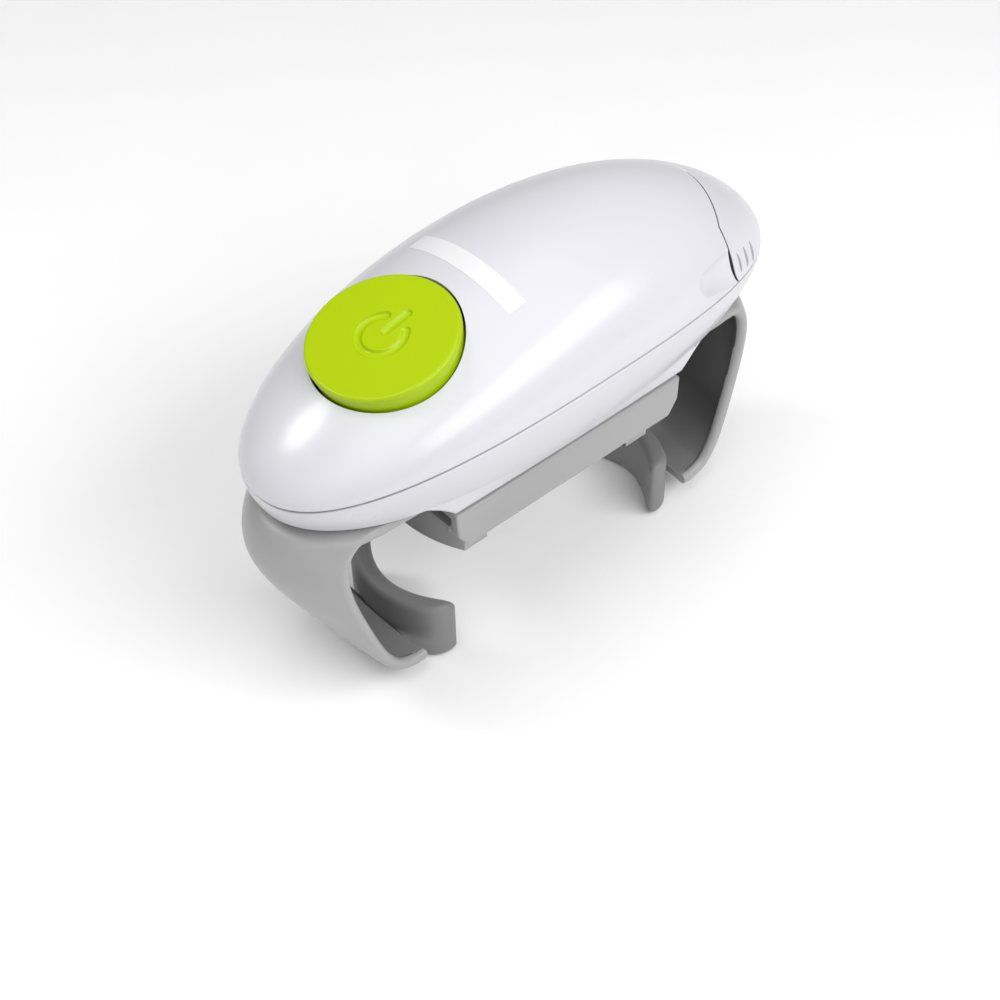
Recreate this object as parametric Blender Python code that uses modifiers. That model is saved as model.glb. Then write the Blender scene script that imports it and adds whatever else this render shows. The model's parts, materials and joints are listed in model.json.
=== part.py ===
"""Electric one-touch jar opener, as separate working pieces.

X runs along the body, with the battery end at +X; Y runs across it, and Z is up. The opener stands on the
undersides of its two grip pads at Z = 0. Sizes are in millimetres, and the helpers turn them into metres.
Places are given from the middle of the body, and heights from the middle of the parting line between the
upper and lower shells. That point lies BODY_X and STANCE from the frame's origin.
"""

import math

import bmesh
import bpy
from mathutils import Matrix, Vector

MM = 0.001
STANCE = 106.5  # ground to the middle of the parting line
BODY_X = 1.43  # the body's middle from the middle of the bounding box, past which the left arm stands out
GAP = 0.3  # between pieces that touch
RIM_GAP = 0.8  # between the rims of the two shells
MIDDLE_X = -3.0  # the turntable's axis, and the middle of all that turns or grips, is off the body's middle

# Body shells
HALF_LENGTH = 105.0
HALF_WIDTH = 43.4
PLAN_POWER = 2.19
PLAN_SKEW = -0.04  # the body is a little wider at the button end
CREST = 31.3
CREST_POWER = 1.9
CREST_SKEW = 0.27  # the crest is higher towards the battery end
PARTING_DROP = 12.95  # how far the parting line falls towards both ends
WALL = 2.2
FLOOR = -24.5  # outside of the lower shell's flat floor
FLOOR_HALF_LENGTH = 102.5
FLOOR_HALF_WIDTH = 36.2
PLATFORM = -34.0  # underside of the raised platform that carries the turntable
PLATFORM_HALF_LENGTH = 50.0
PLATFORM_FOOT = 66.0  # where its sloping ends meet the floor
PLATFORM_HALF_WIDTH = 31.0
TUNNEL_HALF_WIDTH = 27.6
TUNNEL = (-31.5, FLOOR)
SCREW_X = (-74.0, 60.0)  # the pair at +X stays clear of the battery cover
SCREW_Y = 22.0
SCREW_SINK = 1.2  # depth of the recess for a screw head

# Battery cover
SEAM_CREST_X = 76.0
SEAM_SIDE_X = 65.5
SEAM_SIDE_Y = 30.0
SEAM_GAP = 0.4

# Start button
BUTTON_X = -53.5
BUTTON_RADIUS = 24.3
BUTTON_TILT = math.radians(19.5)
BUTTON_TRAVEL = 2.5

# Arms that hold the jar
ARM_HALF_WIDTH = 26.5
ARM_WALL = 3.2
ARM_BOW = 17.0  # how far the middle of an arm stands out past its edges
ARM_PATH = (
    (61.2, -25.8), (70.0, -25.8), (77.0, -26.0), (83.0, -28.2), (87.0, -33.5), (88.4, -42.0),
    (87.4, -53.0), (85.0, -65.5), (82.0, -78.0), (78.6, -88.0), (73.5, -95.5), (66.5, -98.6),
    (61.2, -98.6),
)
PAD_HALF_WIDTH = 24.6
PAD_END_X = 46.0
PAD_MIDDLE_X = 56.0
PAD_BACK_END_X = 56.0
PAD_BACK_X = 62.9  # where the pad meets the middle of the lip
PAD_TOP = -82.5
ARM_TRAVEL = 24.0
ARM_PINION_TEETH = 24
RACK_LEVEL = (-30.4, -26.4)

# Carriage and lid jaws
CARRIAGE_TOP = -35.4
CARRIAGE_BOTTOM = -51.0
CARRIAGE_HALF_WIDTH = 30.8
CARRIAGE_TOP_X = 49.8
CARRIAGE_BOTTOM_X = 45.4
CARRIAGE_BAR = 6.8  # half width of the bar that carries the pinion pin, between the closed jaws
JAW_HALF_WIDTH = 24.0
JAW_OUTER_X = 48.0
JAW_RADIUS = 40.0
JAW_FOOT = -63.0
JAW_TRAVEL = 24.0
JAW_PINION_TEETH = 16
JAW_RACK_LEVEL = (-45.2, -41.2)

# Gear train: levels of its three meshes, and its axes as seen from the turntable's
LEVEL_1 = (-19.5, -14.5)
LEVEL_2 = (-13.5, -10.5)
LEVEL_3 = (-9.5, -7.0)
CHASSIS = (-22.0, -20.0)
GEAR_PLATE = (-6.0, -4.2)
GEAR_B_AT = (-32.0, 0.0)
GEAR_A_AT = (-26.05, 22.2)
MOTOR_AT = (-11.5, 11.59)
POSTS_AT = ((-47.0, -16.0), (-46.0, 26.0), (-9.0, 28.3), (-9.0, -28.3))
ADDENDUM = 0.85
DEDENDUM = 1.15

# Batteries (AA cells)
CELL_RADIUS = 7.1
CELL_LENGTH = 50.0
CELL_Y = 7.6
CELL_Z = -12.8
CELL_START = 37.4
TRAY = (31.6, 89.0, 16.8, -21.8, -7.0)  # from X, to X, half width, floor, rim

WHITE = ("shell_white", (0.80, 0.80, 0.84), 0.28, 0.0)
GREEN = ("button_green", (0.42, 0.66, 0.0), 0.3, 0.0)
GREY = ("arm_grey", (0.38, 0.39, 0.39), 0.42, 0.0)
PAD_GREY = ("pad_grey", (0.28, 0.29, 0.29), 0.6, 0.0)
CARRIAGE_GREY = ("carriage_grey", (0.45, 0.46, 0.47), 0.4, 0.0)
BLACK = ("inner_black", (0.02, 0.02, 0.02), 0.5, 0.0)
ACETAL = ("gear_acetal", (0.72, 0.70, 0.62), 0.45, 0.0)
STEEL = ("steel", (0.60, 0.60, 0.60), 0.3, 1.0)
BRASS = ("brass", (0.75, 0.56, 0.22), 0.3, 1.0)
BOARD = ("board_green", (0.02, 0.16, 0.06), 0.5, 0.0)
JACKET = ("cell_jacket", (0.05, 0.12, 0.32), 0.35, 0.0)
RED = ("lead_red", (0.6, 0.02, 0.02), 0.5, 0.0)


# Scene, materials and placing


def clear_scene():
    for obj in list(bpy.data.objects):
        bpy.data.objects.remove(obj, do_unlink=True)


def collection(name):
    made = bpy.data.collections.new(name)
    bpy.context.scene.collection.children.link(made)
    return made


def material(finish):
    name, colour, roughness, metallic = finish
    made = bpy.data.materials.get(name)
    if made is None:
        made = bpy.data.materials.new(name)
        made.use_nodes = True
        shader = made.node_tree.nodes["Principled BSDF"]
        shader.inputs["Base Color"].default_value = (*colour, 1.0)
        shader.inputs["Roughness"].default_value = roughness
        shader.inputs["Metallic"].default_value = metallic
    return made


def point(x, y, z):
    """A point in metres, from millimetres counted from the body's middle and the parting line."""
    return Vector((x + BODY_X, y, z + STANCE)) * MM


def anchor(name, at, tilt=0.0):
    """An empty on a joint's axis, turned about Y by tilt."""
    empty = bpy.data.objects.new(name, None)
    empty.empty_display_size = 0.02
    empty.location = at
    empty.rotation_euler = (0.0, tilt, 0.0)
    PARTS.objects.link(empty)
    return empty


def add_piece(name, mesh, finish, parent=None, smooth=30.0):
    """Links a mesh made in world space as a piece whose origin is its parent's."""
    piece = bpy.data.objects.new(name, mesh)
    PARTS.objects.link(piece)
    mesh.materials.append(material(finish))
    mesh.shade_smooth()
    mesh.set_sharp_from_angle(angle=math.radians(smooth))
    if parent is not None:
        bpy.context.view_layer.update()
        mesh.transform(parent.matrix_world.inverted())
        piece.parent = parent
    return piece


def add_cutter(name, mesh, shift=0.0):
    cutter = bpy.data.objects.new(name, mesh)
    CUTTERS.objects.link(cutter)
    cutter.location.x = shift * MM
    cutter.hide_render = True
    cutter.display_type = "WIRE"
    return cutter


def boolean(piece, cutter, operation="DIFFERENCE"):
    modifier = piece.modifiers.new(cutter.name, "BOOLEAN")
    modifier.operation = operation
    modifier.solver = "EXACT"
    modifier.object = cutter


def bevel(piece, width, segments=1, angle=40.0):
    modifier = piece.modifiers.new("Bevel", "BEVEL")
    modifier.width = width * MM
    modifier.segments = segments
    modifier.limit_method = "ANGLE"
    modifier.angle_limit = math.radians(angle)


def solidify(piece, thickness):
    modifier = piece.modifiers.new("Solidify", "SOLIDIFY")
    modifier.thickness = thickness * MM
    modifier.offset = -1.0


# Mesh makers


def finish_mesh(name, bm):
    bmesh.ops.recalc_face_normals(bm, faces=bm.faces)
    mesh = bpy.data.meshes.new(name)
    bm.to_mesh(mesh)
    bm.free()
    return mesh


def box_mesh(name, *boxes):
    """Boxes given as (low corner, high corner)."""
    bm = bmesh.new()
    for low, high in boxes:
        low, high = point(*low), point(*high)
        matrix = Matrix.Translation((low + high) / 2) @ Matrix.Diagonal((*(high - low), 1.0))
        bmesh.ops.create_cube(bm, size=1.0, matrix=matrix)
    return finish_mesh(name, bm)


def rod_mesh(name, *rods, segments=24):
    """Upright cylinders given as (x, y, low, high, radius)."""
    bm = bmesh.new()
    for x, y, low, high, radius in rods:
        matrix = Matrix.Translation(point(x, y, (low + high) / 2))
        bmesh.ops.create_cone(
            bm, cap_ends=True, segments=segments, radius1=radius * MM, radius2=radius * MM,
            depth=(high - low) * MM, matrix=matrix,
        )
    return finish_mesh(name, bm)


def flat_mesh(name, outlines, low, high):
    """An upright slab from an outer outline and the outlines of its holes, by a filled flat curve."""
    curve = bpy.data.curves.new(name, "CURVE")
    curve.dimensions = "2D"
    curve.fill_mode = "BOTH"
    curve.extrude = (high - low) / 2 * MM
    for outline in outlines:
        spline = curve.splines.new("POLY")
        spline.points.add(len(outline) - 1)
        for target, (x, y) in zip(spline.points, outline):
            target.co = (x * MM, y * MM, 0.0, 1.0)
        spline.use_cyclic_u = True
    guide = bpy.data.objects.new(name, curve)
    bpy.context.scene.collection.objects.link(guide)
    mesh = mesh_of(guide)
    mesh.transform(Matrix.Translation(point(0.0, 0.0, (low + high) / 2)))
    return mesh


def mesh_of(guide):
    """The welded mesh of a curve object, which is removed."""
    bpy.context.view_layer.update()
    graph = bpy.context.evaluated_depsgraph_get()
    mesh = bpy.data.meshes.new_from_object(guide.evaluated_get(graph))
    bm = bmesh.new()
    bm.from_mesh(mesh)
    bmesh.ops.remove_doubles(bm, verts=bm.verts, dist=1e-6)
    bmesh.ops.recalc_face_normals(bm, faces=bm.faces)
    bm.to_mesh(mesh)
    bm.free()
    bpy.data.objects.remove(guide, do_unlink=True)
    return mesh


def wire_mesh(name, points, radius, resolution=1):
    """A round wire through points in metres."""
    curve = bpy.data.curves.new(name, "CURVE")
    curve.dimensions = "3D"
    curve.bevel_depth = radius * MM
    curve.bevel_resolution = resolution
    curve.use_fill_caps = True
    spline = curve.splines.new("POLY")
    spline.points.add(len(points) - 1)
    for target, source in zip(spline.points, points):
        target.co = (*source, 1.0)
    guide = bpy.data.objects.new(name, curve)
    bpy.context.scene.collection.objects.link(guide)
    return mesh_of(guide)


def loft_mesh(name, rings, closed=True, capped=True):
    """A skin over rings of equal length; a ring of one point is a pole."""
    bm = bmesh.new()
    rows = [[bm.verts.new(place) for place in ring] for ring in rings]
    for first, second in zip(rows, rows[1:]):
        count = max(len(first), len(second))
        for i in range(count if closed else count - 1):
            corners = [
                first[i % len(first)],
                first[(i + 1) % len(first)],
                second[(i + 1) % len(second)],
                second[i % len(second)],
            ]
            unique = list(dict.fromkeys(corners))
            if len(unique) > 2:
                bm.faces.new(unique)
    if capped:
        for row in (rows[0], rows[-1]):
            if len(row) > 2:
                bm.faces.new(row)
    bmesh.ops.triangulate(bm, faces=bm.faces)
    return finish_mesh(name, bm)


def turned(name, profile, steps, finish, parent, closed=False):
    """A turned piece about its parent's Z axis: a profile of (radius, height) run down its outer side."""
    bm = bmesh.new()
    verts = [bm.verts.new((radius * MM, 0.0, height * MM)) for radius, height in profile]
    pairs = list(zip(verts, verts[1:]))
    if closed:
        pairs.append((verts[-1], verts[0]))
    for pair in pairs:
        bm.edges.new(pair)
    mesh = bpy.data.meshes.new(name)
    bm.to_mesh(mesh)
    bm.free()
    piece = bpy.data.objects.new(name, mesh)
    PARTS.objects.link(piece)
    mesh.materials.append(material(finish))
    piece.parent = parent
    screw = piece.modifiers.new("Screw", "SCREW")
    screw.axis = "Z"
    screw.steps = steps
    screw.render_steps = steps
    screw.use_merge_vertices = True
    screw.merge_threshold = 1e-5
    screw.use_smooth_shade = False
    return piece


def circle(x, y, radius, segments=24):
    turns = (2 * math.pi * i / segments for i in range(segments))
    return [(x + radius * math.cos(turn), y + radius * math.sin(turn)) for turn in turns]


def smooth_path(corners, per_span):
    """A Catmull-Rom curve through corners of any dimension."""
    ends = [corners[0], *corners, corners[-1]]
    path = []
    for a, b, c, d in zip(ends, ends[1:], ends[2:], ends[3:]):
        for i in range(per_span):
            t = i / per_span
            path.append(tuple(
                0.5 * (2 * q + (r - p) * t + (2 * p - 5 * q + 4 * r - s) * t**2
                       + (3 * q - 3 * r + s - p) * t**3)
                for p, q, r, s in zip(a, b, c, d)
            ))
    path.append(tuple(corners[-1]))
    return path


# Shape of the body


def signed_power(value, power):
    return math.copysign(abs(value) ** power, value)


def outline(angle, half_length, half_width):
    """A point of the body's rounded plan."""
    x = half_length * signed_power(math.cos(angle), 2 / PLAN_POWER)
    y = half_width * signed_power(math.sin(angle), 2 / PLAN_POWER)
    return x, y * (1 + PLAN_SKEW * x / HALF_LENGTH)


def outline_width(x, half_length=HALF_LENGTH, half_width=HALF_WIDTH):
    return half_width * max(1 - abs(x / half_length) ** PLAN_POWER, 0.0) ** (1 / PLAN_POWER)


def parting_height(x):
    return -PARTING_DROP * (x / HALF_LENGTH) ** 2


def crest_height(x):
    along = x / HALF_LENGTH
    rise = CREST * max(1 - abs(along) ** CREST_POWER, 0.0) ** (1 / CREST_POWER)
    return rise * (1 + CREST_SKEW * along)


def dome_rings(stations, arc_points):
    """Half-oval sections of the upper shell from end to end."""
    rings = []
    for i in range(stations + 1):
        x = -HALF_LENGTH * math.cos(math.pi * i / stations)
        base = parting_height(x) + RIM_GAP / 2
        if i in (0, stations):
            rings.append([point(x, 0.0, base)])
            continue
        width = outline_width(x) * (1 + PLAN_SKEW * x / HALF_LENGTH)
        turns = (math.pi * j / arc_points for j in range(arc_points + 1))
        rings.append([
            point(x, -width * math.cos(turn), base + crest_height(x) * math.sin(turn)) for turn in turns
        ])
    return rings


def dome_surface(name):
    return loft_mesh(name, dome_rings(30, 12), closed=False, capped=False)


def dome_solid():
    """The upper shell's outer shape as a closed body, which trims what is inside it."""
    bm = bmesh.new()
    bm.from_mesh(dome_surface("dome_solid"))
    rim = [edge for edge in bm.edges if edge.is_boundary]
    bmesh.ops.contextual_create(bm, geom=rim)
    return add_cutter("dome_solid", finish_mesh("dome_solid", bm))


def seam_x(y):
    """The battery cover's front edge, seen from above."""
    return SEAM_CREST_X - (SEAM_CREST_X - SEAM_SIDE_X) * min(abs(y) / SEAM_SIDE_Y, 1.0) ** 1.8


def beyond_seam(name, shift):
    """Everything past the battery cover's seam, moved along X by shift."""
    reach = 50.0
    edge = [(seam_x(y) + shift, y) for y in (reach * (i / 12 - 1) for i in range(25))]
    corners = [*edge, (HALF_LENGTH + 20, reach), (HALF_LENGTH + 20, -reach)]
    return add_cutter(name, flat_mesh(name, [corners], -60.0, 60.0))


# Body pieces


def screw_places():
    return [(x, y) for x in SCREW_X for y in (-SCREW_Y, SCREW_Y)]


def make_top_cover():
    cover = add_piece("top_cover", dome_surface("top_cover"), WHITE)
    solidify(cover, WALL)
    bosses = add_cutter("cover_bosses", rod_mesh(
        "cover_bosses", *[(x, y, -12.0, 20.0, 3.2) for x, y in screw_places()], segments=12))
    boolean(bosses, dome_solid(), "INTERSECT")
    boolean(cover, bosses, "UNION")
    boolean(cover, add_cutter("cover_pilots", rod_mesh(
        "cover_pilots", *[(x, y, -20.0, -4.0, 1.6) for x, y in screw_places()], segments=12)))
    hole = rod_mesh("button_hole", (0.0, 0.0, -30.0, 20.0, BUTTON_RADIUS + 0.7), segments=56)
    hole.transform(BUTTON_FRAME @ Matrix.Translation(-point(0.0, 0.0, 0.0)))
    boolean(cover, add_cutter("button_hole", hole))
    boolean(cover, beyond_seam("cover_seam", 0.0))


def make_battery_cover(slide):
    cover = add_piece("battery_cover", dome_surface("battery_cover"), WHITE, slide)
    solidify(cover, WALL)
    boolean(cover, beyond_seam("battery_cover_seam", SEAM_GAP), "INTERSECT")


def lower_surface(name):
    """The lower shell's outer skin: rings from the parting line down to a flat floor."""
    count = 48
    rings = []
    for level in (0.0, 0.2, 0.4, 0.6, 0.8, 1.0):
        ring = []
        for i in range(count):
            angle = 2 * math.pi * i / count
            top_x, top_y = outline(angle, HALF_LENGTH, HALF_WIDTH)
            low_x, low_y = outline(angle, FLOOR_HALF_LENGTH, FLOOR_HALF_WIDTH)
            inward = level**1.6
            rim = parting_height(top_x) - RIM_GAP / 2
            ring.append(point(
                top_x + (low_x - top_x) * inward,
                top_y + (low_y - top_y) * inward,
                rim + (FLOOR - rim) * level,
            ))
        rings.append(ring)
    mesh = loft_mesh(name, rings, capped=False)
    bm = bmesh.new()
    bm.from_mesh(mesh)
    lowest = [edge for edge in bm.edges
              if edge.is_boundary and all(abs(v.co.z - point(0, 0, FLOOR).z) < 1e-6 for v in edge.verts)]
    bmesh.ops.contextual_create(bm, geom=lowest)
    for face in bm.faces:
        face.normal_update()
    return finish_mesh(name, bm)


def platform_rings():
    """Sections of the platform under the floor, as seen from its middle, with ends that sweep down to it."""
    rings = []
    slope = PLATFORM_FOOT - PLATFORM_HALF_LENGTH
    stations = [PLATFORM_HALF_LENGTH + slope * i / 5 for i in range(6)]
    for x in [-x for x in reversed(stations)] + [-25.0, 0.0, 25.0] + stations:
        down = 1 - max(abs(x) - PLATFORM_HALF_LENGTH, 0.0) / slope
        foot = FLOOR + 0.6 + (PLATFORM - FLOOR - 0.6) * down**1.7
        along = x + MIDDLE_X
        width = outline_width(along, FLOOR_HALF_LENGTH, FLOOR_HALF_WIDTH)
        top = width * (1 + PLAN_SKEW * along / HALF_LENGTH) - 0.4
        low = top + (min(PLATFORM_HALF_WIDTH, top) - top) * down
        roof = FLOOR + 1.1
        rings.append([point(x, -top, roof), point(x, -low, foot), point(x, low, foot), point(x, top, roof)])
    return rings


def make_lower_housing():
    housing = add_piece("lower_housing", lower_surface("lower_housing"), WHITE)
    solidify(housing, WALL)
    boolean(housing, add_cutter("platform", loft_mesh("platform", platform_rings()), MIDDLE_X), "UNION")
    boolean(housing, add_cutter("housing_bosses", rod_mesh(
        "housing_bosses", *[(x, y, FLOOR + 1.0, -12.6, 3.2) for x, y in screw_places()], segments=12)), "UNION")
    boolean(housing, add_cutter("platform_pocket", box_mesh(
        "platform_pocket", ((-47.0, -TUNNEL_HALF_WIDTH, TUNNEL[0]), (47.0, TUNNEL_HALF_WIDTH, -15.0))), MIDDLE_X))
    boolean(housing, add_cutter("arm_tunnel", box_mesh(
        "arm_tunnel", ((-75.0, -TUNNEL_HALF_WIDTH + 0.01, TUNNEL[0] + 0.01),
                       (75.0, TUNNEL_HALF_WIDTH - 0.01, TUNNEL[1] + 0.01))), MIDDLE_X))
    drills = [(x, y, -40.0, -10.0, 1.6) for x, y in screw_places()]
    sinks = [(x, y, -40.0, FLOOR + SCREW_SINK, 3.0) for x, y in screw_places()]
    boolean(housing, add_cutter("housing_drills", rod_mesh("housing_drills", *drills, segments=12)))
    boolean(housing, add_cutter("screw_sinks", rod_mesh("screw_sinks", *sinks, segments=12)))
    shaft_hole = rod_mesh("shaft_hole", (0, 0, -40, -20, 8.0), segments=32)
    boolean(housing, add_cutter("shaft_hole", shaft_hole, MIDDLE_X))


def make_screws():
    for i, (x, y) in enumerate(screw_places(), 1):
        base = anchor(f"screw_place_{i}", point(x, y, FLOOR + SCREW_SINK - GAP))
        profile = [(0.0, 14.0), (0.7, 14.0), (1.25, 12.6), (1.25, 0.0), (2.6, -0.4), (2.6, -0.9), (0.0, -0.9)]
        turned(f"housing_screw_{i}", profile, 12, STEEL, base)


# Start button and what it presses


def make_button():
    """Everything here lies along the button's tilted axis, from the crest of the shell."""
    slide = anchor("start_button_slide", BUTTON_FRAME.translation, -BUTTON_TILT)
    fixed = anchor("button_axis", BUTTON_FRAME.translation, -BUTTON_TILT)
    rim = BUTTON_RADIUS
    switch_top = -18.0
    stem = switch_top + GAP + BUTTON_TRAVEL
    button_profile = [
        (0.0, 2.6), (8.0, 2.5), (15.0, 2.2), (20.5, 1.75), (rim - 1.6, 1.2), (rim - 0.5, 0.5), (rim, -0.7),
        (rim, -7.6), (rim - 1.8, -7.6), (rim - 1.8, -0.6), (3.0, 0.2), (3.0, stem), (0.0, stem),
    ]
    turned("start_button", button_profile, 40, GREEN, slide)
    well_profile = [
        (rim + 0.4, -14.0), (rim + 0.4, -16.0), (3.6, -16.0), (3.6, -14.4), (rim - 1.2, -14.4),
        (rim - 1.2, -11.4), (rim + 0.4, -11.4),
    ]
    turned("button_well", well_profile, 32, BLACK, fixed, closed=True)
    turns = 4.5
    coil = []
    steps = 45
    for i in range(steps + 1):
        angle = 2 * math.pi * turns * i / steps
        height = -13.6 + 12.6 * i / steps
        coil.append(BUTTON_FRAME @ (Vector((5.6 * math.cos(angle), 5.6 * math.sin(angle), height)) * MM))
    add_piece("button_spring", wire_mesh("button_spring", coil, 0.45), STEEL, slide)
    board = box_mesh("circuit_board", ((-5.0, -13.0, -23.0), (19.0, 13.0, -21.6)))
    switch = box_mesh("start_switch", ((-4.5, -6.0, -21.3), (6.0, 6.0, switch_top)))
    for mesh, finish in ((board, BOARD), (switch, BLACK)):
        mesh.transform(BUTTON_FRAME @ Matrix.Translation(-point(0.0, 0.0, 0.0)))
        piece = add_piece(mesh.name, mesh, finish, fixed)
    bevel(piece, 0.6)


# Gears


def gear_outline(teeth, phase):
    """Teeth of module 1 with straight flanks; a tooth points along phase."""
    radius = teeth / 2
    root, tip = radius - DEDENDUM, radius + ADDENDUM
    corners = []
    for i in range(teeth):
        middle = phase + 2 * math.pi * i / teeth
        for reach, half in ((root, -0.85), (tip, -0.34), (tip, 0.34), (root, 0.85)):
            angle = middle + half / reach
            corners.append((reach * math.cos(angle), reach * math.sin(angle)))
    return corners


def gear_mesh(name, at, teeth, phase, level, bore):
    corners = [(at[0] + x, at[1] + y) for x, y in gear_outline(teeth, phase)]
    return flat_mesh(name, [corners, circle(*at, bore, 16)], *level)


def join_meshes(name, first, second):
    """Two overlapping gears on one hub, made one body."""
    base = add_cutter(name + "_lower", first)
    top = add_cutter(name + "_upper", second)
    boolean(base, top, "UNION")
    bpy.context.view_layer.update()
    graph = bpy.context.evaluated_depsgraph_get()
    mesh = bpy.data.meshes.new_from_object(base.evaluated_get(graph))
    for used in (base, top):
        bpy.data.objects.remove(used, do_unlink=True)
    return mesh


def make_compound_gear(name, at, pinion, wheel, parent):
    """pinion and wheel are (teeth, phase, level); a plain hub joins them."""
    pinion_mesh = gear_mesh(name, at, pinion[0], pinion[1], (pinion[2][0], wheel[2][0] + 0.5), 1.75)
    wheel_mesh = gear_mesh(name, at, wheel[0], wheel[1], wheel[2], 1.7501)
    add_piece(name, join_meshes(name, pinion_mesh, wheel_mesh), ACETAL, parent)


def heading(start, end):
    return math.atan2(end[1] - start[1], end[0] - start[0])


def make_gear_train(turntable):
    to_b = heading((0.0, 0.0), GEAR_B_AT)
    b_to_a = heading(GEAR_B_AT, GEAR_A_AT)
    a_to_motor = heading(GEAR_A_AT, MOTOR_AT)
    gear = gear_mesh("turntable_gear", (0.0, 0.0), 52, to_b, LEVEL_1, 5.8)
    add_piece("turntable_gear", gear, ACETAL, turntable)
    spin_b = anchor("gear_b_axis", point(*GEAR_B_AT, LEVEL_1[0]))
    make_compound_gear("intermediate_gear", GEAR_B_AT, (12, to_b + math.pi + math.pi / 12, LEVEL_1),
                       (36, b_to_a, LEVEL_2), spin_b)
    spin_a = anchor("gear_a_axis", point(*GEAR_A_AT, LEVEL_2[0]))
    make_compound_gear("first_gear", GEAR_A_AT, (10, b_to_a + math.pi + math.pi / 10, LEVEL_2),
                       (28, a_to_motor, LEVEL_3), spin_a)
    spin_motor = anchor("motor_axis", point(*MOTOR_AT, LEVEL_3[0]))
    pinion = gear_mesh("motor_pinion", MOTOR_AT, 8, a_to_motor + math.pi + math.pi / 8, LEVEL_3, 1.3)
    add_piece("motor_pinion", pinion, BRASS, spin_motor)
    shaft = rod_mesh("motor_shaft", (*MOTOR_AT, LEVEL_3[0], GEAR_PLATE[1] + 1.5, 1.0), segments=12)
    add_piece("motor_shaft", shaft, STEEL, spin_motor)
    for name, at in (("first_gear_axle", GEAR_A_AT), ("intermediate_gear_axle", GEAR_B_AT)):
        axle = rod_mesh(name, (*at, CHASSIS[1] + GAP, GEAR_PLATE[0] - GAP, 1.4), segments=12)
        add_piece(name, axle, STEEL)


def make_chassis():
    corners = [(-50, -27), (-40, -30.5), (31, -30.5), (31, 30.5), (-40, 30.5), (-50, 27)]
    add_piece("chassis", flat_mesh("chassis", [corners, circle(0, 0, 8.0)], *CHASSIS), STEEL)
    corners = [(-51, -19), (-47, -22), (-14, -31), (-4, -31), (-4, 31), (-14, 31), (-49, 31), (-51, 28)]
    holes = [circle(*MOTOR_AT, 3.4, 16)]
    add_piece("gear_plate", flat_mesh("gear_plate", [corners, *holes], *GEAR_PLATE), STEEL)
    for i, (x, y) in enumerate(POSTS_AT, 1):
        post = rod_mesh(f"gear_post_{i}", (x, y, CHASSIS[1] + GAP, GEAR_PLATE[0] - GAP, 2.0), segments=10)
        add_piece(f"gear_post_{i}", post, BRASS)


def make_motor():
    place = anchor("motor_place", point(*MOTOR_AT, GEAR_PLATE[1] + GAP))
    body = [
        (0.0, 23.6), (2.2, 23.6), (2.2, 22.4), (10.2, 22.4), (11.0, 21.6), (11.0, 0.0), (3.2, 0.0), (3.2, 2.0),
        (0.0, 2.0),
    ]
    turned("motor", body, 28, STEEL, place)


# Turntable, carriage and lid jaws


def make_turntable(turntable):
    """The shaft that hangs the carriage from the body, and what it turns in."""
    shaft_base = anchor("shaft_base", point(0.0, 0.0, CARRIAGE_TOP + GAP))
    shaft_base.parent = turntable
    shaft_base.location = (0.0, 0.0, point(0, 0, CARRIAGE_TOP + GAP).z - turntable.location.z)
    top = LEVEL_1[1] + 0.2 - CARRIAGE_TOP - GAP
    profile = [
        (1.9, top - 9.0), (1.9, top), (5.5, top), (5.5, 0.7), (12.5, 0.7), (12.5, 0.0), (0.0, 0.0),
    ]
    turned("carriage_shaft", [(0.0, top - 9.0), *profile], 28, STEEL, shaft_base)
    screw_base = anchor("shaft_screw_base", (0.0, 0.0, 0.0))
    screw_base.parent = turntable
    screw_base.location = (0.0, 0.0, point(0, 0, LEVEL_1[1] + 0.5).z - turntable.location.z)
    screw = [(0.0, 1.8), (3.0, 1.8), (4.6, 0.9), (4.6, 0.0), (1.5, 0.0), (1.5, -8.0), (0.0, -8.0)]
    turned("turntable_screw", screw, 16, STEEL, screw_base)
    fixed = anchor("turntable_place", point(0.0, 0.0, PLATFORM))
    bush = [(7.7, 2.2), (7.7, 0.0), (5.8, 0.0), (5.8, 2.2)]
    turned("turntable_bush", bush, 28, BRASS, fixed, closed=True)
    washer = [(20.0, -0.3), (20.0, -1.1), (14.0, -1.1), (14.0, -0.3)]
    turned("thrust_washer", washer, 28, ACETAL, fixed, closed=True)


def make_carriage(turntable):
    """An inverted channel, open at both ends, with slots below for the jaws."""
    top, low = CARRIAGE_TOP, CARRIAGE_BOTTOM
    profile = [(-CARRIAGE_TOP_X, top), (CARRIAGE_TOP_X, top), (CARRIAGE_BOTTOM_X, low), (-CARRIAGE_BOTTOM_X, low)]
    sides = (-CARRIAGE_HALF_WIDTH, CARRIAGE_HALF_WIDTH)
    mesh = loft_mesh("carriage", [[point(x, y, z) for x, z in profile] for y in sides])
    carriage = add_piece("carriage", mesh, CARRIAGE_GREY, turntable)
    bevel(carriage, 1.0)
    tunnel = ((-60.0, -27.6, low + 2.2), (60.0, 27.6, top - 2.6))
    boolean(carriage, add_cutter("carriage_tunnel", box_mesh("carriage_tunnel", tunnel)))
    middle, half = (CARRIAGE_BAR + 61.0) / 2, (61.0 - CARRIAGE_BAR) / 2
    slots = [((side * middle - half, -25.0, low - 5.0), (side * middle + half, 25.0, low + 3.0)) for side in (-1, 1)]
    boolean(carriage, add_cutter("jaw_slots", box_mesh("jaw_slots", *slots)))


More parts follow.
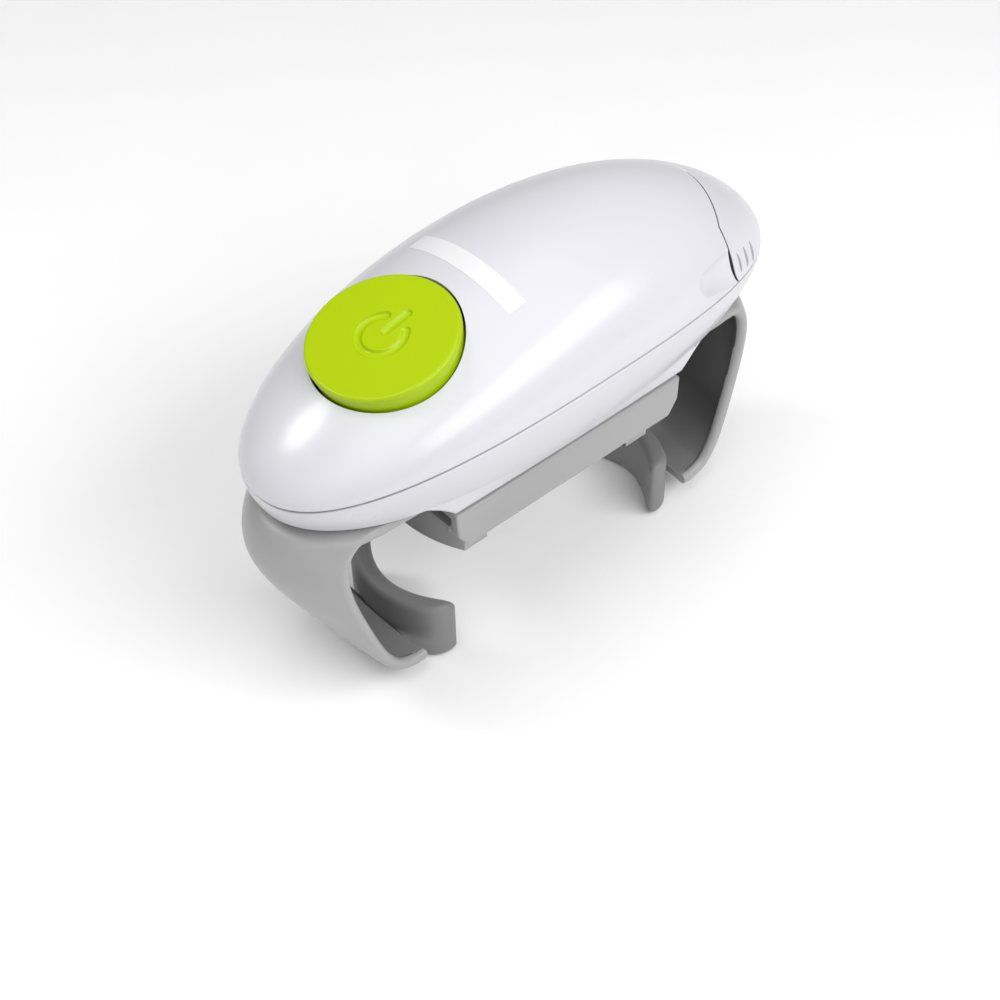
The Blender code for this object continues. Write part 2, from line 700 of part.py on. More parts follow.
def rack_outline(side, far, near, teeth_reach, pitch_line, depth):
    """A toothed bar whose gap faces the pinion at X = 0. It runs from far to near past the middle."""
    pitch = math.pi
    count = int(teeth_reach / pitch)
    corners = [(far, pitch_line + DEDENDUM)]
    for i in range(-count, 2):
        middle = (i + 0.5) * pitch
        for shift, drop in ((-0.85, DEDENDUM), (-0.34, -ADDENDUM), (0.34, -ADDENDUM), (0.85, DEDENDUM)):
            corners.append((middle + shift, pitch_line + drop))
    corners += [(near, pitch_line + DEDENDUM), (near, pitch_line + depth), (far, pitch_line + depth)]
    return [(-side * x, -side * y) for x, y in corners]


def make_lid_jaws(turntable):
    pinion_axis = anchor("jaw_pinion_axis", (0.0, 0.0, 0.0))
    pinion_axis.parent = turntable
    pinion = gear_mesh("jaw_pinion", (0.0, 0.0), JAW_PINION_TEETH, math.pi / 2, JAW_RACK_LEVEL, 2.3)
    add_piece("jaw_pinion", pinion, ACETAL, pinion_axis)
    pin = rod_mesh("jaw_pinion_pin", (0.0, 0.0, CARRIAGE_BOTTOM + 2.5, CARRIAGE_TOP - 2.9, 1.9), segments=14)
    add_piece("jaw_pinion_pin", pin, STEEL, turntable)
    for side, word in ((-1, "left"), (1, "right")):
        slide = anchor(f"{word}_jaw_slide", (0.0, 0.0, 0.0))
        slide.parent = turntable
        plate_x = sorted((side * JAW_OUTER_X, side * 27.0))
        hook_x = sorted((side * JAW_OUTER_X, side * (JAW_RADIUS - 10.0)))
        plate = box_mesh("plate", ((plate_x[0], -JAW_HALF_WIDTH, -48.4), (plate_x[1], JAW_HALF_WIDTH, -45.5)))
        hook = box_mesh("hook", ((hook_x[0], -JAW_HALF_WIDTH, JAW_FOOT), (hook_x[1], JAW_HALF_WIDTH, -48.0)))
        jaw = add_piece(f"{word}_lid_jaw", hook, GREY, slide)
        boolean(jaw, add_cutter(f"{word}_lid_bore", rod_mesh(
            "lid_bore", (0.0, 0.0, JAW_FOOT - 5, -48.4, JAW_RADIUS), segments=64)))
        boolean(jaw, add_cutter(f"{word}_jaw_plate", plate), "UNION")
        half_angle = math.asin((JAW_HALF_WIDTH - 1.0) / JAW_RADIUS)
        grip = []
        for radius, order in ((JAW_RADIUS - GAP, 1), (JAW_RADIUS - 1.6, -1)):
            for i in range(-6, 7):
                angle = half_angle * i * order / 6
                grip.append((side * radius * math.cos(angle), radius * math.sin(angle)))
        add_piece(f"{word}_jaw_grip", flat_mesh("grip", [grip], JAW_FOOT + 0.6, -51.4), BLACK, slide)
        rack = rack_outline(side, -44.0, 8.0, JAW_TRAVEL + 10.0, JAW_PINION_TEETH / 2, 5.0)
        add_piece(f"{word}_jaw_rack", flat_mesh("rack", [rack], *JAW_RACK_LEVEL), ACETAL, slide)


# Arms that hold the jar


def arm_rings(side):
    """The arm's outer skin: a bowed band that follows a C from under the body down to its lip."""
    top, low = ARM_PATH[4][1], ARM_PATH[-1][1]
    rings = []
    for out, height in smooth_path(ARM_PATH, 2):
        fall = min(max((top - height) / (top - low), 0.0), 1.0)
        held = 1 - 0.88 * fall * fall * (3 - 2 * fall)
        inner = min(max((out - 61.2) / 20.0, 0.0), 1.0) if height > top else 1.0
        ring = []
        for j in range(7):
            y = ARM_HALF_WIDTH * (j / 3 - 1)
            bow = ARM_BOW * (1 - abs(y / ARM_HALF_WIDTH) ** 2.2) * held * inner
            ring.append(point(side * (out + bow), y * side, height))
        rings.append(ring)
    return rings


def pad_outline(side):
    corners = []
    for i in range(-7, 8):
        corners.append((PAD_MIDDLE_X - (PAD_MIDDLE_X - PAD_END_X) * (i / 7) ** 2, PAD_HALF_WIDTH * i / 7))
    for i in range(4, -5, -1):
        corners.append((PAD_BACK_X - (PAD_BACK_X - PAD_BACK_END_X) * (i / 4) ** 2, PAD_HALF_WIDTH * i / 4))
    return [(side * x, y) for x, y in corners]


def make_arm(side, word):
    slide = anchor(f"{word}_arm_slide", point(0.0, 0.0, -28.0))
    arm = add_piece(f"{word}_arm", loft_mesh("arm", arm_rings(side), closed=False, capped=False), GREY, slide)
    solidify(arm, ARM_WALL)
    rack_far, bar = -73.0, (ARM_PINION_TEETH / 2 + DEDENDUM, ARM_PINION_TEETH / 2 + 6.0)
    y_low, y_high = sorted((-side * (bar[0] - GAP), -side * (bar[1] + GAP)))
    x_low, x_high = sorted((side * 55.0, side * (-rack_far + GAP)))
    notch = box_mesh("notch", ((x_low, y_low, -35.0), (x_high, y_high, -20.0)))
    boolean(arm, add_cutter(f"{word}_arm_notch", notch))
    pad = add_piece(f"{word}_grip_pad", flat_mesh("pad", [pad_outline(side)], -STANCE, PAD_TOP), PAD_GREY, slide)
    bevel(pad, 1.4)
    rack = rack_outline(side, rack_far, 8.0, ARM_TRAVEL + 10.0, ARM_PINION_TEETH / 2, 6.0)
    add_piece(f"{word}_arm_rack", flat_mesh("rack", [rack], *RACK_LEVEL), ACETAL, slide)


def make_arm_pinion():
    axis = anchor("arm_pinion_axis", point(0.0, 0.0, RACK_LEVEL[0]))
    pinion = gear_mesh("arm_pinion", (0.0, 0.0), ARM_PINION_TEETH, math.pi / 2, RACK_LEVEL, 5.9)
    add_piece("arm_pinion", pinion, ACETAL, axis)


# Batteries, contacts and leads


def make_battery_bay():
    start, end, half, floor, rim = TRAY
    tray = add_piece("battery_tray", box_mesh("tray", ((start, -half, floor), (end, half, rim))), BLACK)
    hollow = ((start + 1.5, -half + 1.6, floor + 1.6), (end - 1.2, half - 1.6, rim + 5.0))
    boolean(tray, add_cutter("tray_hollow", box_mesh("tray_hollow", hollow)))
    cell = [
        (0.0, CELL_LENGTH), (2.6, CELL_LENGTH), (2.6, CELL_LENGTH - 1.3), (CELL_RADIUS - 0.6, CELL_LENGTH - 1.3),
        (CELL_RADIUS, CELL_LENGTH - 1.9), (CELL_RADIUS, 0.6), (CELL_RADIUS - 0.6, 0.0), (0.0, 0.0),
    ]
    for number, side in ((1, -1), (2, 1)):
        at = point(CELL_START if side < 0 else CELL_START + CELL_LENGTH, side * CELL_Y, CELL_Z)
        place = anchor(f"cell_place_{number}", at, -side * math.pi / 2)
        turned(f"battery_{number}", cell, 20, JACKET, place)
    turns, steps = 3.0, 27
    coil = []
    for i in range(steps + 1):
        angle = 2 * math.pi * turns * i / steps
        radius = 4.2 - 1.6 * i / steps
        coil.append(point(start + 2.3 + 2.6 * i / steps, -CELL_Y + radius * math.cos(angle),
                          CELL_Z + radius * math.sin(angle)))
    add_piece("negative_spring", wire_mesh("negative_spring", coil, 0.35, 0), STEEL)
    plate = ((CELL_START - 1.2, 3.0, CELL_Z - 4.0), (CELL_START - 0.7, 12.5, rim + 1.5))
    add_piece("positive_contact", box_mesh("positive_contact", plate), STEEL)
    bridge = ((87.52, -13.0, CELL_Z - 4.0), (87.72, 13.0, CELL_Z + 4.0))
    add_piece("contact_bridge", box_mesh("contact_bridge", bridge), STEEL)


def make_leads():
    """Two leads from the battery contacts to the board."""
    for name, finish, side in (("positive_lead", RED, 1), ("negative_lead", BLACK, -1)):
        corners = [
            (34.5, side * 9.0, -3.0), (30.0, side * 15.0, 0.5), (16.0, side * 26.0, 1.5),
            (-4.0, side * 29.5, 1.0), (-18.0, side * 27.0, 3.0), (-27.0, side * 18.0, 8.0), (-31.0, side * 11.0, 9.8),
        ]
        route = [point(*corner) for corner in smooth_path(corners, 3)]
        add_piece(name, wire_mesh(name, route, 0.7, 0), finish)


def make_mechanism():
    """All that is centred on the turntable's axis, made around X = 0 and then moved to it."""
    body = set(bpy.data.objects)
    turntable_axis = anchor("turntable_axis", point(0.0, 0.0, CARRIAGE_TOP))
    make_turntable(turntable_axis)
    make_carriage(turntable_axis)
    make_lid_jaws(turntable_axis)
    make_gear_train(turntable_axis)
    make_chassis()
    make_motor()
    make_arm(-1, "left")
    make_arm(1, "right")
    make_arm_pinion()
    for made in bpy.data.objects:
        if made not in body and made.parent is None:
            made.location.x += MIDDLE_X * MM


clear_scene()
PARTS = collection("electric_jar_opener")
CUTTERS = collection("cutters")
BUTTON_FRAME = Matrix.Translation(
    point(BUTTON_X, 0.0, parting_height(BUTTON_X) + crest_height(BUTTON_X))
) @ Matrix.Rotation(-BUTTON_TILT, 4, "Y")

make_top_cover()
make_battery_cover(anchor("battery_cover_slide", point(SEAM_CREST_X, 0.0, 0.0)))
make_lower_housing()
make_screws()
make_button()
make_battery_bay()
make_leads()
make_mechanism()
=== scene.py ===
"""Looks of the electric jar opener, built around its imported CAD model.

Lengths here are in millimetres, and at() turns them into metres in the CAD frame. Places are counted
from the middle of the body, and heights from the middle of its parting line. What turns or grips is
centred on the turntable's axis, MIDDLE_X from the body's middle.
"""

import math

import bmesh
import bpy
from mathutils import Matrix, Vector
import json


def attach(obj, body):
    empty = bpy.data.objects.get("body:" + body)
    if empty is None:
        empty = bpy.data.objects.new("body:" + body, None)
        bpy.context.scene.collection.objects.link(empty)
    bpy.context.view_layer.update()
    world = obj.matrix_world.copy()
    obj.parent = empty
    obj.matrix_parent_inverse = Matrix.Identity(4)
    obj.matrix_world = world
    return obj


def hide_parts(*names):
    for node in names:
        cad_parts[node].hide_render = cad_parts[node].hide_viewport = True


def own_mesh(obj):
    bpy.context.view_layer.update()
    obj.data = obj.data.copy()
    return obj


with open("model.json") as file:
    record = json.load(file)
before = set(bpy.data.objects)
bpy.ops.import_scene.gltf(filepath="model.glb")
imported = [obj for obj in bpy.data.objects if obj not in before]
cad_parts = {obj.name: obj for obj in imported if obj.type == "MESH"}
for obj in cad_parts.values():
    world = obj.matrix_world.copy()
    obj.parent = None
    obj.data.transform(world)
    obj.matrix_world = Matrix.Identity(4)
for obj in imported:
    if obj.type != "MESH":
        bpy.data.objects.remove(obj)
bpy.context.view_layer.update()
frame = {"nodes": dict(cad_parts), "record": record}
NODES = frame["nodes"]

MM = 0.001
SEAM_Z = 106.5
BODY_X = 1.43
MIDDLE_X = -3.0

# Body, as in the CAD design
HALF_LENGTH = 105.0
HALF_WIDTH = 43.4
PLAN_POWER = 2.19
PLAN_SKEW = -0.04
CREST = 31.3
CREST_POWER = 1.9
CREST_SKEW = 0.27
PARTING_DROP = 12.95
WALL = 2.2
PARTING_GAP = 0.7
FLOOR = -24.5
FLOOR_HALF_LENGTH = 102.5
FLOOR_HALF_WIDTH = 36.2
SIDE_SWEEP = 1.6  # the lower shell's side draws in faster towards the floor
TIP_START = 68.0  # from here the floor rises towards the button's end
TIP_RISE = 3.0
FLOOR_EDGE = 2.2
PLATFORM = -34.0
PLATFORM_HALF_LENGTH = 50.0
PLATFORM_FOOT = 66.0
PLATFORM_HALF_WIDTH = 31.0
TUNNEL_HALF_WIDTH = 27.6
TUNNEL_FLOOR = -31.5
TUNNEL_HALF_LENGTH = 75.0
POCKET_HALF_LENGTH = 47.0
POCKET_ROOF = -15.0
SCREWS_AT = ((-74.0, -22.0), (-74.0, 22.0), (60.0, -22.0), (60.0, 22.0))
SCREW_HOLE = 1.6
SCREW_SINK = 3.0
SHAFT_HOLE = 8.0
EDGE = 0.3  # rounding of the upper shells' borders
LIP = 0.6  # rounding of the lower shell's rim

# Battery cover's seam, by its turn around the body: a bow over the crest, a knee, and a hooked foot
SEAM_GAP = 0.75
SEAM_CREST_X = 76.2
SEAM_KNEE_X = 66.4
SEAM_KNEE_TURN = math.radians(43.0)
SEAM_WAIST_X = 65.4
SEAM_FOOT_HOOK = 3.6

# Finger scoop beside the seam, and the ridges on the cover
SCOOP_START = 45.5
SCOOP_END = 66.5
SCOOP_TIP_Z = 7.1
SCOOP_SEAM_Z = 2.0
SCOOP_HALF_HEIGHT = 6.0
SCOOP_DEPTH = 3.2
RIDGES = ((71.0, -3.0, 4.4), (76.2, -4.6, 3.4), (81.6, -6.4, 1.6))  # along the body, low end, high end
RIDGE_LEAN = 1.2
RIDGE_RADIUS = 0.6

# Start button
BUTTON_X = -53.5
BUTTON_RADIUS = 24.3
BUTTON_TILT = math.radians(19.5)
BUTTON_DROP = 1.0
BUTTON_CROWN = 0.3
BUTTON_SHOULDER = 2.7
BUTTON_CORNER = 1.2
BUTTON_BRIM = 24.6  # the top's edge
BUTTON_LEVEL = 0.09  # the top lies flatter than the cap's axis asks
HOLE_RADIUS = 25.2
SYMBOL_RADIUS = 7.6
SYMBOL_OPENING = math.radians(38)
SYMBOL_BAR = (1.6, 10.6)
GROOVE_HALF_WIDTH = 1.5
GROOVE_DEPTH = 0.9
SPRING_TURNS = 4.5
SPRING_RADIUS = 5.6
SPRING_WIRE = 0.45
SPRING_FOOT = -13.6
SPRING_RISE = 12.6

# Blank label on the crest
LABEL_X = (-22.3, -15.4)
LABEL_Y = (-22.0, 25.5)

# Arms and their pads
ARM_HALF_WIDTH = 26.5
ARM_WALL = 3.2
ARM_BEAD = 0.9  # extra thickness of the rounded rim
ARM_BEAD_WIDTH = 3.6
ARM_BOW = {-1: (17.0, 2.2), 1: (12.0, 1.8)}  # depth and power; the right arm hides behind its rim
ARM_PATH = (
    (61.2, -25.8), (70.0, -25.8), (77.0, -26.0), (83.0, -28.2), (87.0, -33.5), (88.4, -42.0),
    (87.4, -53.0), (85.0, -65.5), (82.0, -78.0), (78.6, -88.0), (73.5, -95.5), (66.5, -98.6),
    (61.2, -98.6),
)
ARM_SHADE_AXIS = (62.0, -62.0)  # a line inside the arm's curve, which its inner side faces; those faces get painted shade
ARM_NOTCH = ((55.0, 12.85, -35.0), (73.3, 18.3, -20.0))  # clears the other arm's rack
PAD_HALF_WIDTH = 24.6
PAD_FRONT = (56.0, 44.0)  # distance from the middle of the jar at the pad's middle and at its ends
PAD_BACK = (62.9, 54.5)
PAD_TOP = -82.5
PAD_ROUND = 3.0

# Carriage and lid jaws
CARRIAGE_TOP = -35.4
CARRIAGE_BOTTOM = -51.0
CARRIAGE_HALF_WIDTH = 30.8
CARRIAGE_TOP_X = 49.8
CARRIAGE_WAIST = (49.4, -45.0)  # where the ends turn in towards the bottom
CARRIAGE_BOTTOM_X = 45.4
CARRIAGE_BAR = 6.8  # half width of the bar between the closed jaws
CARRIAGE_ROOF = 2.6
CHANNEL = (27.6, 2.2)  # its half width, and its floor above the carriage's bottom
SLOT_HALF_WIDTH = 25.0
JAW_HALF_WIDTH = 24.0
JAW_OUTER_X = 48.0
JAW_RADIUS = 40.0
JAW_FOOT = -61.5
JAW_ROOF = -48.0
JAW_INNER_X = 30.0
JAW_PLATE = (27.0, -48.4, -45.5)  # its inner end, and its low and high faces


def at(x, y, z):
    return Vector(((x + BODY_X) * MM, y * MM, (z + SEAM_Z) * MM))


# Shape of the body


def half_width_at(x):
    width = HALF_WIDTH * max(1 - abs(x / HALF_LENGTH) ** PLAN_POWER, 0.0) ** (1 / PLAN_POWER)
    return width * (1 + PLAN_SKEW * x / HALF_LENGTH)


def parting_height(x):
    return -PARTING_DROP * (x / HALF_LENGTH) ** 2


def crest_height(x):
    along = x / HALF_LENGTH
    rise = CREST * max(1 - abs(along) ** CREST_POWER, 0.0) ** (1 / CREST_POWER)
    return rise * (1 + CREST_SKEW * along)


def dome_point(x, turn):
    """A point of the upper shell's skin: turn runs from 0 at the near rim to pi at the far one."""
    base = parting_height(x) + PARTING_GAP / 2
    return Vector((x, -half_width_at(x) * math.cos(turn), base + crest_height(x) * math.sin(turn)))


def dome_normal(x, turn):
    step = 0.01
    low, high = max(x - step, -HALF_LENGTH), min(x + step, HALF_LENGTH)
    along = dome_point(high, turn) - dome_point(low, turn)
    across = dome_point(x, turn + step) - dome_point(x, turn - step)
    normal = along.cross(across)
    return normal.normalized() if normal.length > 1e-9 else Vector((math.copysign(1, x), 0, 0))


def seam_x(turn):
    """The seam's place along the body."""
    side = min(turn, math.pi - turn)
    if side > SEAM_KNEE_TURN:
        share = (math.pi / 2 - side) / (math.pi / 2 - SEAM_KNEE_TURN)
        return SEAM_CREST_X - (SEAM_CREST_X - SEAM_KNEE_X) * share**1.6
    share = side / SEAM_KNEE_TURN
    return SEAM_WAIST_X + (SEAM_KNEE_X - SEAM_WAIST_X) * share**2 + SEAM_FOOT_HOOK * (1 - share) ** 6


def seam_end(turn):
    return seam_x(turn) + SEAM_GAP


def rounded_drop(distance, radius):
    """How far a rounded edge has fallen at a distance from its border."""
    if distance >= radius:
        return 0.0
    return radius - math.sqrt(radius * radius - (radius - distance) ** 2)


def scoop_depth(place):
    """A leaf-shaped hollow for a finger that comes back up at the seam."""
    along = (place.x - SCOOP_START) / (SCOOP_END - SCOOP_START)
    if along <= 0.0:
        return 0.0
    along = min(along, 1.0)
    middle = SCOOP_TIP_Z + (SCOOP_SEAM_Z - SCOOP_TIP_Z) * along
    across = (place.z - middle) / (SCOOP_HALF_HEIGHT * along**0.25)
    if abs(across) >= 1.0:
        return 0.0
    return SCOOP_DEPTH * math.sin(0.95 * math.pi * along**0.9) * (1 - across * across) ** 0.55


BUTTON_PLACE = at(BUTTON_X, 0.0, parting_height(BUTTON_X) + crest_height(BUTTON_X))
BUTTON_FRAME = Matrix.Translation(BUTTON_PLACE) @ Matrix.Rotation(-BUTTON_TILT, 4, "Y")


# Materials


def new_material(name, colour, roughness, metallic=0.0):
    made = bpy.data.materials.new(name)
    made.use_nodes = True
    shader = made.node_tree.nodes["Principled BSDF"]
    shader.inputs["Base Color"].default_value = (*colour, 1.0)
    shader.inputs["Roughness"].default_value = roughness
    shader.inputs["Metallic"].default_value = metallic
    return made, made.node_tree.nodes, made.node_tree.links, shader


def add_noise(nodes, links, scale, detail=4.0):
    """Noise in object space, so that it stays with its piece and needs no UVs."""
    place = nodes.new("ShaderNodeTexCoord")
    noise = nodes.new("ShaderNodeTexNoise")
    noise.inputs["Scale"].default_value = scale
    noise.inputs["Detail"].default_value = detail
    links.new(place.outputs["Object"], noise.inputs["Vector"])
    return noise


def mix_colours(nodes, links, factor, dark, light):
    ramp = nodes.new("ShaderNodeValToRGB")
    ramp.color_ramp.elements[0].position = 0.35
    ramp.color_ramp.elements[1].position = 0.65
    ramp.color_ramp.elements[0].color = (*dark, 1.0)
    ramp.color_ramp.elements[1].color = (*light, 1.0)
    links.new(factor, ramp.inputs["Fac"])
    return ramp.outputs["Color"]


def moulded(name, colour, roughness, grain, bump, spread=0.03, coat=0.0, sheen=0.5):
    """Moulded plastic: a faint drift of tone, an uneven gloss and a fine grain."""
    made, nodes, links, shader = new_material(name, colour, roughness)
    drift = add_noise(nodes, links, 18.0, 2.0)
    dark = tuple(c * (1 - spread) for c in colour)
    light = tuple(min(c * (1 + spread), 1.0) for c in colour)
    links.new(mix_colours(nodes, links, drift.outputs["Fac"], dark, light), shader.inputs["Base Color"])
    patch = add_noise(nodes, links, 60.0)
    spots = nodes.new("ShaderNodeMapRange")
    spots.inputs["To Min"].default_value = roughness * 0.85
    spots.inputs["To Max"].default_value = roughness * 1.15
    links.new(patch.outputs["Fac"], spots.inputs["Value"])
    links.new(spots.outputs["Result"], shader.inputs["Roughness"])
    fine = add_noise(nodes, links, grain, 3.0)
    relief = nodes.new("ShaderNodeBump")
    relief.inputs["Strength"].default_value = bump
    relief.inputs["Distance"].default_value = 0.00005
    links.new(fine.outputs["Fac"], relief.inputs["Height"])
    links.new(relief.outputs["Normal"], shader.inputs["Normal"])
    shader.inputs["Specular IOR Level"].default_value = sheen
    shader.inputs["Coat Weight"].default_value = coat
    shader.inputs["Coat Roughness"].default_value = 0.08
    return made


def painted_shade_moulded(name, dark, light, dark_z, light_z):
    """A moulded plastic with painted shade, darker above than it is below."""
    made = moulded(name, dark, 0.42, 1400.0, 0.12)
    nodes, links = made.node_tree.nodes, made.node_tree.links
    place = nodes.new("ShaderNodeTexCoord")
    split = nodes.new("ShaderNodeSeparateXYZ")
    links.new(place.outputs["Object"], split.inputs["Vector"])
    height = nodes.new("ShaderNodeMapRange")
    height.interpolation_type = "SMOOTHSTEP"
    height.inputs["From Min"].default_value = dark_z
    height.inputs["From Max"].default_value = light_z
    links.new(split.outputs["Z"], height.inputs["Value"])
    blend = nodes.new("ShaderNodeMix")
    blend.data_type = "RGBA"
    blend.inputs["A"].default_value = (*dark, 1.0)
    blend.inputs["B"].default_value = (*light, 1.0)
    links.new(height.outputs["Result"], blend.inputs["Factor"])
    links.new(blend.outputs["Result"], nodes["Principled BSDF"].inputs["Base Color"])
    return made


def brushed(name, colour, roughness):
    """Metal with fine lines along X."""
    made, nodes, links, shader = new_material(name, colour, roughness, 1.0)
    place = nodes.new("ShaderNodeTexCoord")
    stretch = nodes.new("ShaderNodeMapping")
    stretch.inputs["Scale"].default_value = (40.0, 1800.0, 1800.0)
    lines = nodes.new("ShaderNodeTexNoise")
    lines.inputs["Scale"].default_value = 1.0
    links.new(place.outputs["Object"], stretch.inputs["Vector"])
    links.new(stretch.outputs["Vector"], lines.inputs["Vector"])
    spots = nodes.new("ShaderNodeMapRange")
    spots.inputs["To Min"].default_value = roughness * 0.7
    spots.inputs["To Max"].default_value = roughness * 1.4
    links.new(lines.outputs["Fac"], spots.inputs["Value"])
    links.new(spots.outputs["Result"], shader.inputs["Roughness"])
    dark = tuple(c * 0.9 for c in colour)
    links.new(mix_colours(nodes, links, lines.outputs["Fac"], dark, colour), shader.inputs["Base Color"])
    return made


SHADOW = moulded("seam_shadow", (0.03, 0.03, 0.035), 0.8, 1200.0, 0.1, 0.1)
SHELL = moulded("shell_gloss", (0.66, 0.655, 0.695), 0.29, 900.0, 0.04, 0.012, 0.15)
# The ridges are the cover's white plastic; their darker grey is painted shade.
RIDGE_PAINTED_SHADE = moulded("ridge_painted_shade", (0.36, 0.36, 0.39), 0.4, 1200.0, 0.06)
LABEL = moulded("label_film", (0.80, 0.80, 0.82), 0.35, 1500.0, 0.05, 0.01)
GREEN = moulded("button_gloss", (0.41, 0.57, 0.0), 0.24, 900.0, 0.04, 0.02, 0.0, 0.3)
ARM = moulded("arm_satin", (0.37, 0.37, 0.37), 0.36, 1400.0, 0.12, 0.03)
# Painted shade on the arms' insides: dark grey, darkest at the top.
ARM_INNER_PAINTED_SHADE = painted_shade_moulded("arm_inner_painted_shade", (0.035, 0.035, 0.035), (0.21, 0.21, 0.21), 0.034, 0.012)
PAD = moulded("pad_rubber", (0.22, 0.22, 0.22), 0.5, 1800.0, 0.25, 0.05)
CARRIAGE = moulded("carriage_satin", (0.37, 0.37, 0.37), 0.36, 1400.0, 0.1, 0.03)
BLACK = moulded("inner_black", (0.022, 0.022, 0.024), 0.5, 1200.0, 0.2, 0.15)
GRIP = moulded("grip_rubber", (0.025, 0.025, 0.027), 0.7, 2200.0, 0.4, 0.2)
ACETAL = moulded("gear_acetal", (0.72, 0.70, 0.62), 0.4, 1200.0, 0.08, 0.03)
BOARD = moulded("board_green", (0.02, 0.17, 0.07), 0.4, 2400.0, 0.3, 0.15)
JACKET = moulded("cell_jacket", (0.05, 0.12, 0.32), 0.3, 700.0, 0.05, 0.08, 0.4)
RED = moulded("lead_red", (0.55, 0.02, 0.02), 0.45, 900.0, 0.1, 0.1)
DARK_LEAD = moulded("lead_black", (0.02, 0.02, 0.02), 0.45, 900.0, 0.1, 0.1)
STEEL = brushed("brushed_steel", (0.62, 0.62, 0.63), 0.3)
BRASS = brushed("turned_brass", (0.76, 0.57, 0.24), 0.28)

BY_SLOT = {
    "shell_white": SHELL, "button_green": GREEN, "arm_grey": ARM, "pad_grey": PAD,
    "carriage_grey": CARRIAGE, "inner_black": BLACK, "grip_black": GRIP, "gear_acetal": ACETAL,
    "steel": STEEL, "brass": BRASS, "board_green": BOARD, "cell_jacket": JACKET, "lead_red": RED,
    "lead_black": DARK_LEAD,
}


def dress_nodes():
    """Every CAD node gets the finished material of its slot."""
    for part in frame["record"]["subparts"]:
        mesh = NODES[part["node"]].data
        mesh.materials.clear()
        mesh.materials.append(BY_SLOT[part["material_slot"]])


# Mesh helpers


def piece_from(name, bm, material, smooth=35.0):
    bmesh.ops.recalc_face_normals(bm, faces=bm.faces)
    mesh = bpy.data.meshes.new(name)
    bm.to_mesh(mesh)
    bm.free()
    mesh.materials.append(material)
    piece = bpy.data.objects.new(name, mesh)
    bpy.context.scene.collection.objects.link(piece)
    smooth_shade(piece, smooth)
    return piece


def smooth_shade(piece, angle=35.0):
    piece.data.shade_smooth()
    piece.data.set_sharp_from_angle(angle=math.radians(angle))


def apply_modifiers(piece):
    """Turns the modifiers' result into the piece's own mesh."""
    bpy.context.view_layer.update()
    made = bpy.data.meshes.new_from_object(piece.evaluated_get(bpy.context.evaluated_depsgraph_get()))
    piece.modifiers.clear()
    piece.data = made


def combine(piece, other, operation="DIFFERENCE"):
    modifier = piece.modifiers.new("combine", "BOOLEAN")
    modifier.operation = operation
    modifier.solver = "EXACT"
    modifier.object = other
    apply_modifiers(piece)
    bpy.data.objects.remove(other, do_unlink=True)


def round_edges(piece, width, segments=3, angle=40.0):
    modifier = piece.modifiers.new("edge", "BEVEL")
    modifier.width = width * MM
    modifier.segments = segments
    modifier.limit_method = "ANGLE"
    modifier.angle_limit = math.radians(angle)
    apply_modifiers(piece)


def stand_for(piece, body, slot, *nodes):
    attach(piece, body)
    if nodes:
        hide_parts(*nodes)


def skin(bm, rows, closed):
    """Faces over rows of vertices, around each row if closed."""
    for first, second in zip(rows, rows[1:]):
        count = len(first)
        for i in range(count if closed else count - 1):
            n = (i + 1) % count
            bm.faces.new((first[i], second[i], second[n], first[n]))


def loft(name, rings, material, smooth=35.0):
    """A closed body over closed rings of points in millimetres, seen from the turntable's axis."""
    bm = bmesh.new()
    rows = [[bm.verts.new(at(x + MIDDLE_X, y, z)) for x, y, z in ring] for ring in rings]
    skin(bm, rows, True)
    for row in (rows[0], rows[-1]):
        bm.faces.new(row)
    return piece_from(name, bm, material, smooth)


def block(name, low, high):
    """A box that cuts or joins, seen from the turntable's axis."""
    bm = bmesh.new()
    size = [(b - a) * MM for a, b in zip(low, high)]
    middle = (at(*low) + at(*high)) / 2 + Vector((MIDDLE_X * MM, 0, 0))
    matrix = Matrix.Translation(middle) @ Matrix.Diagonal((*size, 1.0))
    bmesh.ops.create_cube(bm, size=1.0, matrix=matrix)
    return piece_from(name, bm, BLACK)


def drill(name, radius, low, high, matrix, segments=48):
    """A round cutter along the Z axis of a frame given in metres."""
    bm = bmesh.new()
    middle = matrix @ Matrix.Translation((0, 0, (low + high) / 2 * MM))
    bmesh.ops.create_cone(
        bm, cap_ends=True, segments=segments, radius1=radius * MM, radius2=radius * MM,
        depth=(high - low) * MM, matrix=middle)
    return piece_from(name, bm, BLACK)


def upright(x, y):
    return Matrix.Translation(at(x, y, 0.0))


def between(before, start, end, after, t):
    """A Catmull-Rom value from start to end, at t from 0 to 1."""
    slope, bend = end - before, 2 * before - 5 * start + 4 * end - after
    return 0.5 * (2 * start + slope * t + bend * t**2 + (3 * start - 3 * end + after - before) * t**3)


def smooth_path(corners, per_span):
    """A smooth curve through corners."""
    ends = [corners[0], *corners, corners[-1]]
    path = []
    for a, b, c, d in zip(ends, ends[1:], ends[2:], ends[3:]):
        for i in range(per_span):
            path.append(tuple(between(*values, i / per_span) for values in zip(a, b, c, d)))
    path.append(tuple(corners[-1]))
    return path


def graded(stops):
    """Values from one stop to the next: (value, steps up to the following stop)."""
    values = []
    for (a, count), (b, _) in zip(stops, stops[1:]):
        values += [a + (b - a) * i / count for i in range(count)]
    return values + [stops[-1][0]]


# Shells


